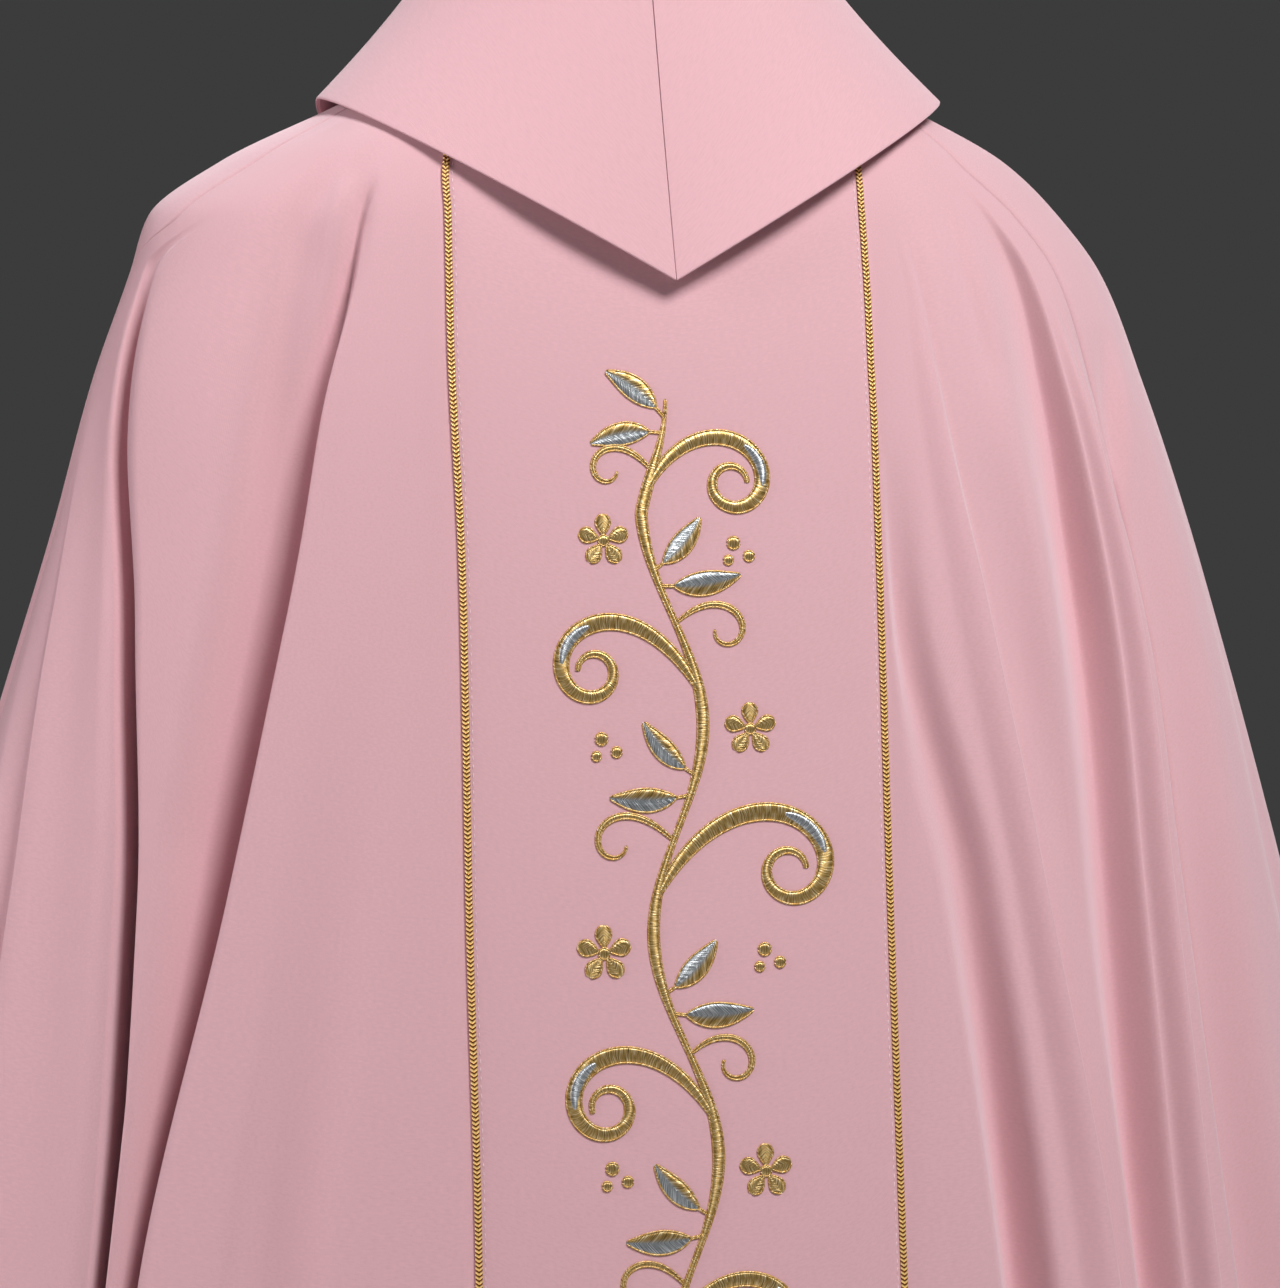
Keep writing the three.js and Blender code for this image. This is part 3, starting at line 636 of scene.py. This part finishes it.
# Flowers, and berries in threes: centre, and a flower's outer radius or a berry's radius.
FLOWERS = [(-36, -262, 14), (40, -362, 14), (-42, -478, 15), (40, -594, 14.5), (-36, -704, 13.5)]
BERRY_PLACES = [(34, -264), (-40, -366), (44, -478), (-42, -590), (42, -712)]
BERRY_TRIO = [(0, 0, 3.3), (8, -7, 2.8), (-3, -9, 2.5)]


def vine_path(count):
    """The vine as points (x, z): falls evenly while x swings as a sine that grows from its top."""
    z = np.linspace(VINE_TOP, VINE_END, count)
    fade = np.clip((VINE_TOP - z) / 60, 0, 1) * np.clip((z - VINE_END) / 60, 0.2, 1)
    return np.stack([-VINE_SWING * fade * np.sin((VINE_TOP - z) / VINE_WAVE * 2 * np.pi), z], -1)


def vine_x(z):
    """Where the vine is across the strip at height z."""
    path = vine_path(400)[::-1]
    return float(np.interp(z, path[:, 1], path[:, 0]))


def curl_path(x, z, heading, length, bend_start, bend_end, late, count):
    """A curl as points (x, z): its heading turns by a bend that grows as (way / length)^late."""
    s = np.linspace(0, 1, count)
    bend = bend_start + (bend_end - bend_start) * s**late
    step = length / (count - 1)
    turned = np.concatenate([[0], np.cumsum((bend[1:] + bend[:-1]) / 2 * step)])
    course = np.radians(heading + turned)
    mean = (course[1:] + course[:-1]) / 2
    steps = np.stack([np.cos(mean), np.sin(mean)], -1) * step
    return np.array([x, z]) + np.concatenate([np.zeros((1, 2)), np.cumsum(steps, 0)])


def path_frame(path):
    """Way along a path (mm) and its direction a quarter turn to the left at each point."""
    ahead = unit(np.gradient(path, axis=0))
    way = np.concatenate([[0], np.cumsum(np.linalg.norm(np.diff(path, axis=0), axis=-1))])
    return way, np.stack([-ahead[:, 1], ahead[:, 0]], -1)


def satin(path, half, vein=0.0, silver=(0.0, 0.0)):
    """A padded satin band on a path: a grid across the path, raised as sqrt(1 - u^2) for u from
    -1 to 1 over its half width, with a groove of depth vein in the middle; also its stitch map,
    slanted to the groove, and how silver each side (u < 0, u > 0) is."""
    way, side = path_frame(path)
    u = np.sin(np.linspace(-np.pi / 2, np.pi / 2, SATIN_COLUMNS))[None]
    flat = path[:, None] + side[:, None] * (u * half[:, None])[..., None]
    fat = np.minimum(half[:, None] / 1.6, 1)
    groove = vein * np.exp(-((u / 0.22) ** 2))
    height = SATIN_HEIGHT * fat * np.maximum(np.sqrt(np.maximum(1 - u**2, 0)) - groove, 0) - 0.05
    slant = 0.9 if vein else 0.12
    stitch = np.stack([way[:, None] + slant * np.abs(u * half[:, None]), u * half[:, None]], -1)
    share = np.where(u < 0, silver[0], silver[1]) + 0 * height
    return flat, height, stitch, share


def belly(count, power):
    """Width of a leaf or band along its way: 0 at both ends, widest in between, sin(pi s^power)."""
    return np.sin(np.pi * np.linspace(0, 1, count) ** power)


bands = []
vine = vine_path(VINE_POINTS)
vine_way = np.linspace(0, 1, VINE_POINTS)
vine_half = 1.3 + 1.6 * np.sin(vine_way * 16) ** 2
bands.append(satin(vine, vine_half * np.minimum(1, 12 * np.minimum(vine_way, 1 - vine_way) + 0.25)))
for row in CURLS:
    curl = dict(zip(CURL_COLUMNS, row))
    count = int(curl["length"] * 1.5)
    path = curl_path(vine_x(curl["z"]), *row[1:7], count)
    thin = curl["half"] * 0.22
    half = thin + (curl["half"] - thin) * belly(count, 0.8)
    bands.append(satin(path, half))
    if curl["half"] > 2:
        patch = slice(int(count * 0.42), int(count * 0.58))
        way = np.linspace(-1, 1, patch.stop - patch.start)
        lens = half[patch] * 0.62 * np.sqrt(1 - way**2) + 0.15
        _, side = path_frame(path)
        bands.append(satin(path[patch] + side[patch] * 0.2, lens, silver=(1, 1)))
for row in LEAVES:
    leaf = dict(zip(LEAF_COLUMNS, row))
    bends = (leaf["bend"], leaf["bend"])
    path = curl_path(vine_x(leaf["z"]), *row[:3], *bends, 1, LEAF_POINTS)
    leaf_way = np.clip(np.linspace(-0.22, 1, LEAF_POINTS), 0, 1)
    half = leaf["half"] * np.sin(np.pi * leaf_way**0.85) ** 0.9 + 0.45
    bands.append(satin(path, half, vein=0.55, silver=(0.0, 1.0)))
for x, z, size in FLOWERS:
    for petal in range(PETALS):
        turn = 90 + 360 / PETALS * petal
        a = math.radians(turn)
        start = (x + 0.2 * size * math.cos(a), z + 0.2 * size * math.sin(a))
        path = curl_path(*start, turn, size * 0.8, 0, 0, 1, PETAL_POINTS)
        half = size * 0.27 * belly(PETAL_POINTS, 1.35) ** 0.7 + 0.2
        bands.append(satin(path, half, vein=0.35))
rounds = [(x + dx, z + dz, size) for x, z in BERRY_PLACES for dx, dz, size in BERRY_TRIO]
rounds += [(x, z, 0.2 * size) for x, z, size in FLOWERS]
for x, z, radius in rounds:
    over = np.cos(np.linspace(np.pi, 0, 17))
    path = np.stack([x + radius * over, z + 0 * over], -1)
    bands.append(satin(path, radius * np.sqrt(np.maximum(1 - over**2, 0.003))))


def joined_grids(name, grids, maps, closed=False, shares=None):
    """One mesh of many grids of points (mm), each with its map; closed grids are tubes whose
    columns run the other way round; shares, if given, go in an attribute called silver."""
    vertices, faces, uvs, start = [], [], [], 0
    for points, uv in zip(grids, maps):
        block = grid_faces(points, closed) + start
        faces.append(block[:, ::-1] if closed else block)
        vertices.append(points.reshape(-1, 3))
        uvs.append(uv.reshape(-1, 2))
        start += len(vertices[-1])
    faces = np.concatenate(faces).tolist()
    obj = mesh_object(name, np.concatenate(vertices), faces, np.concatenate(uvs))
    if shares is not None:
        attribute = obj.data.attributes.new("silver", "FLOAT", "POINT")
        attribute.data.foreach_set("value", np.concatenate([s.ravel() for s in shares]))
    return obj


def satin_material(name, gold, pitch, strength):
    """Metallic thread: bands across the map's x are the stitches, noise drawn out along them
    varies the tone of single threads and paints highlights and shade on some of them, and the
    silver attribute turns gold to silver."""
    material, nodes, links, shader = new_material(
        name, {"Metallic": 0.7, "Roughness": 0.36, "Anisotropic": 0.8}
    )
    tangent = nodes.new("ShaderNodeTangent")
    tangent.direction_type = "UV_MAP"
    links.new(tangent.outputs["Tangent"], shader.inputs["Tangent"])
    place = nodes.new("ShaderNodeUVMap").outputs["UV"]
    threads = fed_node(nodes, links, "ShaderNodeMapping", place, {"Scale": (1 / (pitch * MM), 120, 1)})
    noise = fed_node(
        nodes, links, "ShaderNodeTexNoise", threads.outputs["Vector"], {"Scale": 1.0, "Detail": 2.0}
    )
    colours = []
    # For gold and for silver alike, the darkest stop is painted shade and the lightest a painted
    # highlight, scattered by the noise over single threads; the middle stop is the thread's own
    # colour.
    for painted_shade, middle, light in (
        ([c * 0.26 for c in gold], gold, (0.95, 0.8, 0.5)),
        ((0.12, 0.13, 0.14), (0.42, 0.45, 0.47), (0.85, 0.88, 0.9)),
    ):
        stops = ((0.3, painted_shade), (0.5, middle), (0.68, light))
        colours.append(add_ramp(nodes, links, noise.outputs["Fac"], stops))
    silver = nodes.new("ShaderNodeAttribute")
    silver.attribute_name = "silver"
    mix = nodes.new("ShaderNodeMix")
    mix.data_type = "RGBA"
    links.new(silver.outputs["Fac"], mix.inputs["Factor"])
    links.new(colours[0].outputs["Color"], mix.inputs["A"])
    links.new(colours[1].outputs["Color"], mix.inputs["B"])
    links.new(mix.outputs["Result"], shader.inputs["Base Color"])
    add_bump(nodes, links, noise.outputs["Fac"], shader, strength, 0.3)
    return material


satin_grids, cord_grids, cord_maps = [], [], []
round_angles = np.radians(np.arange(6) * 60)
for number, (flat, height, stitch, share) in enumerate(bands):
    silver_patch = share.min() > 0.9
    lift = STRIP_LIFT + height + 0.02 * (number % 3) + 0.5 * silver_patch
    satin_grids.append(strip_point(flat[..., 0], flat[..., 1], lift)[0])
    if silver_patch:
        continue
    for column in (0, -1):
        rim = flat[:, column]
        lift = np.full(len(rim), STRIP_LIFT + CORD_LIFT)
        centre, outward, _ = strip_point(rim[:, 0], rim[:, 1], lift)
        ahead = unit(np.gradient(centre, axis=0))
        sideways = np.cross(outward, ahead)
        from_end = np.minimum(np.arange(len(rim)), np.arange(len(rim))[::-1])
        thickness = CORD_HALF * np.minimum(1, 4 * from_end)
        ring = sideways[:, None] * np.cos(round_angles)[None, :, None]
        ring = ring + outward[:, None] * np.sin(round_angles)[None, :, None]
        cord_grids.append(centre[:, None] + ring * (thickness[:, None, None] + 0.02))
        way = np.concatenate([[0], np.cumsum(np.linalg.norm(np.diff(centre, axis=0), axis=-1))])
        slanted = way[:, None] + 0.35 * round_angles
        cord_maps.append(np.stack([slanted, 0 * slanted + round_angles], -1))
satin_work = joined_grids(
    "embroidery_satin", satin_grids, [b[2] for b in bands], shares=[b[3] for b in bands]
)
satin_work.data.materials.append(satin_material("satin_thread", SATIN_GOLD, 0.65, 0.9))
cord_work = joined_grids("embroidery_cord", cord_grids, cord_maps, closed=True)
cord_work.data.materials.append(satin_material("twisted_cord", (0.66, 0.38, 0.1), 0.8, 1.0))
for work in (satin_work, cord_work):
    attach(work, "root")

# Braids: two flat gold braids over the strip's edges, each a chevron of two rows of slanted
# metallic stitches with a groove between them, machine sewn from the collar down to the hem.
BRAID_LIFT = 1.0
BRAID_HEIGHT = 1.1
BRAID_ROWS = 640
BRAID_SLANT = 0.7
BRAID_CLOSING = 1.2
BRAID_TOP = float(row_height(0.0, STRIP_TOP)) - 2
BRAID_STITCH = 2.3
WAVE_PERIOD = 0.314159
# The braid's darkest colour is painted shade for the gaps between stitches and its brightest a painted
# highlight on their crests; the middle one is the gold's own colour.
BRAID_PAINTED_SHADE = (0.1, 0.032, 0.008)
BRAID_GOLD = (0.84, 0.4, 0.07)
BRAID_PAINTED_HIGHLIGHT = (1.0, 0.74, 0.3)


def braid_material():
    """Gold thread: the map's x runs along the braid plus a share of the distance from its groove,
    so waves across x are chevrons; they dent the surface, paint shade into the gaps between
    stitches and paint a highlight on the stitches' crests."""
    material, nodes, links, shader = new_material(
        "gold_braid", {"Metallic": 0.35, "Roughness": 0.34}
    )
    place = nodes.new("ShaderNodeUVMap").outputs["UV"]
    waves = {"Scale": WAVE_PERIOD / (BRAID_STITCH * MM), "Distortion": 0.3, "Detail": 1.0}
    chevrons = fed_node(nodes, links, "ShaderNodeTexWave", place, waves)
    chevrons.bands_direction = "X"
    # Painted shade in the troughs of the waves, the gold's own colour between, painted highlight on
    # the crests.
    stops = ((0.2, BRAID_PAINTED_SHADE), (0.5, BRAID_GOLD), (0.85, BRAID_PAINTED_HIGHLIGHT))
    ramp = add_ramp(nodes, links, chevrons.outputs["Fac"], stops)
    links.new(ramp.outputs["Color"], shader.inputs["Base Color"])
    add_bump(nodes, links, chevrons.outputs["Fac"], shader, 0.7, 0.4)
    return material


def braid_profile():
    """Section of a braid as points (side, up): flat below, above two humps |sin| meeting in the
    middle groove."""
    over = np.linspace(-1, 1, 17)
    hump = 0.35 + 0.65 * np.abs(np.sin(np.pi * over)) ** 0.7
    under = np.linspace(1, -1, 5)[1:-1]
    side = np.concatenate([over, under]) * BRAID_HALF
    up = np.concatenate([hump, 0 * under]) * BRAID_HEIGHT
    return side, up


gold_braid = braid_material()
for side_sign, name in ((-1, "left"), (1, "right")):
    heights = np.linspace(BRAID_TOP, strip_ends[name], BRAID_ROWS)
    across = side_sign * strip_width(heights) / 2
    centre, outward, _ = strip_point(across, heights, np.full(heights.shape, BRAID_LIFT))
    ahead = unit(np.gradient(centre, axis=0))
    sideways = np.cross(outward, ahead)
    run = np.concatenate([[0], np.cumsum(np.linalg.norm(np.diff(centre, axis=0), axis=-1))])
    from_end = np.minimum(np.minimum(run, run[-1] - run) / BRAID_CLOSING, 1)
    closing = np.sqrt(1 - (1 - from_end) ** 2)[:, None, None]
    side, up = braid_profile()
    middle_up = BRAID_HEIGHT / 3
    points = centre[:, None] + outward[:, None] * middle_up
    points = points + sideways[:, None] * side[None, :, None] * closing
    points = points + outward[:, None] * (up[None, :, None] - middle_up) * closing
    slanted = run[:, None] + BRAID_SLANT * np.abs(side)
    uv = np.stack([slanted, 0 * slanted + side], -1)
    braid = grid_mesh(f"gold_braid_{name}", points, uv, closed=True, flip=True)
    braid.data.materials.append(gold_braid)
    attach(braid, "root")
    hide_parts(f"braid_{name}")

# Collar: a tall stand sewn to the neck edge rolls over and falls as a wide stiffened leaf to a
# point at the centre back. Two halves, left and right, each two layers of the cloth, meet in a
# pressed seam at the centre back and the centre front; the lower edge is turned in, not stitched.
COLLAR_THICKNESS = 2.0
CORNER_COLUMNS = ("x", "y", "z", "bow", "turn")
COLLAR_CORNERS = {
    "back": (-8, 127, -124, 0, 0),
    "left": (168, 0, -25, 2.1, 6),
    "front": (-3, -138, -150, 0, 0),
    "right": (-176, 0, -24, 2.3, 0),
}
ROLL = {
    "side": 103, "back": 77, "front": 106,
    "height": 52, "front_height": 6, "radius": 6, "shift": -1,
}
LEAF_BOW = -1.5
TURN_SHARE = 0.012
SEAM_ROUND = 0.35
UNDER_DROP = 1.1
NECK_SEAM_GAP, SEAM_DEPTH = 0.8, 1.5
STAND_PULLS = (12, 26)
LEAF_RING = 30
collar_corners = {name: dict(zip(CORNER_COLUMNS, row)) for name, row in COLLAR_CORNERS.items()}


def neck_at(angle):
    """The neck edge of the body where the plain body's neck has this angle (degrees): the middle
    of the cloth there, found by its bearing from the axis, and the direction past the edge."""
    ring, lower = ring_points[0], ring_points[1]
    past = unit(ring - lower)
    middle = ring - ring_normals[0] * CLOTH_THICKNESS / 2
    bearing = np.unwrap(np.arctan2(ring[:, 0], ring[:, 1]))[::-1]
    goal = plain_point(angle, np.zeros(np.shape(angle)))
    wanted = np.arctan2(goal[..., 0], goal[..., 1])
    wanted = bearing[0] + np.mod(wanted - bearing[0], 2 * np.pi)

    def between(values):
        around = np.concatenate([values[::-1], values[-1:]])
        stations = np.append(bearing, bearing[0] + 2 * np.pi)
        return np.stack([np.interp(wanted, stations, around[:, i]) for i in range(3)], -1)

    return between(middle), between(past)


def collar_sections(centre, corner, part):
    """Middle lines of the collar's sections in one quarter, part 0 at its centre seam to 1 at its
    side corner. The leaf's edge runs straight in x and z, and round in y as sqrt(1 - part^bow);
    each section is the neck seam, a cubic stand, a half circle roll and a slightly swollen leaf."""
    lateral = np.sign(corner["x"])
    edge_x = centre["x"] + (corner["x"] - centre["x"]) * part
    edge_y = centre["y"] * np.sqrt(1 - part ** corner["bow"])
    edge_z = centre["z"] + (corner["z"] - centre["z"]) * part
    if centre["y"] < 0:
        edge_z = edge_z - corner["turn"] * part * (1 - np.exp((part - 1) / TURN_SHARE))
    edge = np.stack([edge_x, edge_y, edge_z], -1)
    from_seam = np.abs(edge_x - centre["x"] * (1 - part)) / abs(corner["x"])
    seen = np.arctan2(from_seam, edge_y / abs(centre["y"])) * lateral
    even = np.pi / 2 * (part if centre["y"] > 0 else 2 - part) * lateral
    angle = (seen + even) / 2
    frontness = np.clip(((1 - np.cos(angle)) / 2 - 0.45) / 0.55, 0, 1)
    frontness = frontness**2 * (3 - 2 * frontness)
    deep = np.where(np.cos(angle) > 0, ROLL["back"], ROLL["front"])

    def roll_ring(grow):
        x = ROLL["shift"] + (ROLL["side"] + grow) * np.sin(angle)
        return np.stack([x, (deep + grow) * np.cos(angle), 0 * angle], -1)

    height = ROLL["height"] + (ROLL["front_height"] - ROLL["height"]) * frontness
    flat_out = unit(roll_ring(1) - roll_ring(0))
    up = np.array([0.0, 0.0, 1.0])
    roll_centre = roll_ring(0) + up * (height - ROLL["radius"])[:, None]
    seam, past = neck_at(np.degrees(even))
    foot = seam + past * NECK_SEAM_GAP
    start = foot + past * SEAM_DEPTH
    top = roll_centre - flat_out * ROLL["radius"]
    s = np.linspace(0, 1, 15)[:, None, None]
    stand = (1 - s) ** 3 * start + 3 * s * (1 - s) ** 2 * (start + past * STAND_PULLS[0])
    stand = stand + 3 * s**2 * (1 - s) * (top - up * STAND_PULLS[1]) + s**3 * top
    turn = np.radians(np.arange(15, 180, 15))[:, None, None]
    roll = roll_centre + (up * np.sin(turn) - flat_out * np.cos(turn)) * ROLL["radius"]
    leaf_top = roll_centre + flat_out * ROLL["radius"]
    fall = edge - leaf_top
    swell = unit(flat_out - fall * ((flat_out * fall).sum(-1) / (fall**2).sum(-1))[:, None])
    s = (np.sin(np.linspace(-0.5, 0.5, 34) * np.pi) / 2 + 0.5)[:, None, None]
    leaf = leaf_top + fall * s + swell * LEAF_BOW * np.sin(np.pi * s)
    return np.concatenate([foot[None], stand, roll, leaf])


def collar_half(name, quarters, side_sign):
    """Closed wall on the sections' middle surface: outer face, a round lower edge split between
    its two layers, of which the under one hangs lower by a tanh step, and the inner face; its
    thickness runs out in a quarter round to nothing at the two seams."""
    near_seam = np.array([0, 0.1, 0.3, 0.6, 1.2]) / 170
    middle_parts = np.linspace(0, 1, 62)[1:-1]
    near_corner = 1 - np.array([0.012, 0.008, 0.005, 0.0025, 0.001, 0])
    parts = np.concatenate([near_seam, middle_parts, near_corner])
    back = collar_sections(collar_corners["back"], collar_corners[quarters], parts)
    front = collar_sections(collar_corners["front"], collar_corners[quarters], parts)
    middle = np.concatenate([back, front[:, -2::-1]], 1)
    across = np.gradient(middle, axis=1)
    across[:, 0] = across[:, -1] = 0
    across[:, 0, 0], across[:, -1, 0] = side_sign, -side_sign
    normals = unit(np.cross(np.gradient(middle, axis=0), across)) * side_sign
    down = unit(middle[-1] - middle[-2])
    from_end = np.linalg.norm(np.diff(middle[-1], axis=0), axis=-1)
    from_end = np.concatenate([[0], np.cumsum(from_end)])
    from_end = np.minimum(from_end, from_end[-1] - from_end)
    half = COLLAR_THICKNESS / 2 * np.sqrt(1 - np.clip(1 - from_end / SEAM_ROUND, 0, 1) ** 2)
    half = half[None, :, None]
    middle = middle + np.array([side_sign * HALF_SEAM_GAP, 0, 0])
    bend = np.radians(np.arange(80, -90, -10))[:, None, None]
    under = UNDER_DROP * (1 - np.tanh((np.sin(bend) - 0.05) / 0.14)) / 2
    split = 0.35 * np.exp(-(((np.sin(bend) - 0.2) / 0.16) ** 2))
    hang = np.cos(bend) + under - split
    edge = middle[-1] + (normals[-1] * np.sin(bend) + down * hang) * half
    shell = np.concatenate([middle + normals * half, edge, (middle - normals * half)[::-1]])
    girth = np.linalg.norm(np.diff(shell, axis=0), axis=-1)
    v = np.concatenate([np.zeros((1, shell.shape[1])), np.cumsum(girth, 0)])
    steps = np.linalg.norm(np.diff(middle[LEAF_RING], axis=0), axis=-1)
    leaf_run = np.concatenate([[0], np.cumsum(steps)])
    uv = np.stack([np.broadcast_to(leaf_run, v.shape), v], -1)
    return grid_mesh(name, shell.swapaxes(0, 1), uv.swapaxes(0, 1), closed=True, flip=side_sign > 0)


for side_sign, name in ((1, "left"), (-1, "right")):
    collar = collar_half(f"collar_cloth_{name}", name, side_sign)
    collar.data.materials.append(rose_cloth)
    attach(collar, "root")
    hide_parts(f"collar_{name}")

# Studio: a pale floor in a dim room, one soft light high on the right of the back, a broader and
# weaker one on the left and one on the front, which rims the shoulders.
FLOOR_LEVEL = -1420
FLOOR_HALF = 6


def area_light(name, azimuth, elevation, distance, size, power, colour=(1, 1, 1)):
    """A square soft light at a direction and distance from the target, aimed at it."""
    light = bpy.data.objects.new(name, bpy.data.lights.new(name, "AREA"))
    bpy.context.scene.collection.objects.link(light)
    light.data.size = size
    light.data.energy = power
    light.data.color = colour
    place = target + toward(azimuth, elevation) * distance
    return aim(light, place, target)


area_light("key_light", 202, 46, 2.5, 0.8, 62)
area_light("fill_light", 98, 18, 2.6, 1.4, 32, (1, 0.9, 0.93))
area_light("front_light", 338, 38, 2.8, 1.6, 34)
world = bpy.data.worlds.new("studio")
bpy.context.scene.world = world
world.use_nodes = True
background = world.node_tree.nodes["Background"]
background.inputs["Color"].default_value = (0.9, 0.9, 0.92, 1)
background.inputs["Strength"].default_value = 0.05
floor_mesh = bpy.data.meshes.new("floor")
floor_corners = [
    (x * FLOOR_HALF, y * FLOOR_HALF, FLOOR_LEVEL * MM) for x, y in ((-1, -1), (1, -1), (1, 1), (-1, 1))
]
floor_mesh.from_pydata(floor_corners, [], [(0, 1, 2, 3)])
floor = bpy.data.objects.new("floor", floor_mesh)
bpy.context.scene.collection.objects.link(floor)
floor_mesh.materials.append(new_material("pale_floor", {"Base Color": (0.8, 0.8, 0.8, 1)})[0])
bpy.context.scene.view_settings.view_transform = "Standard"
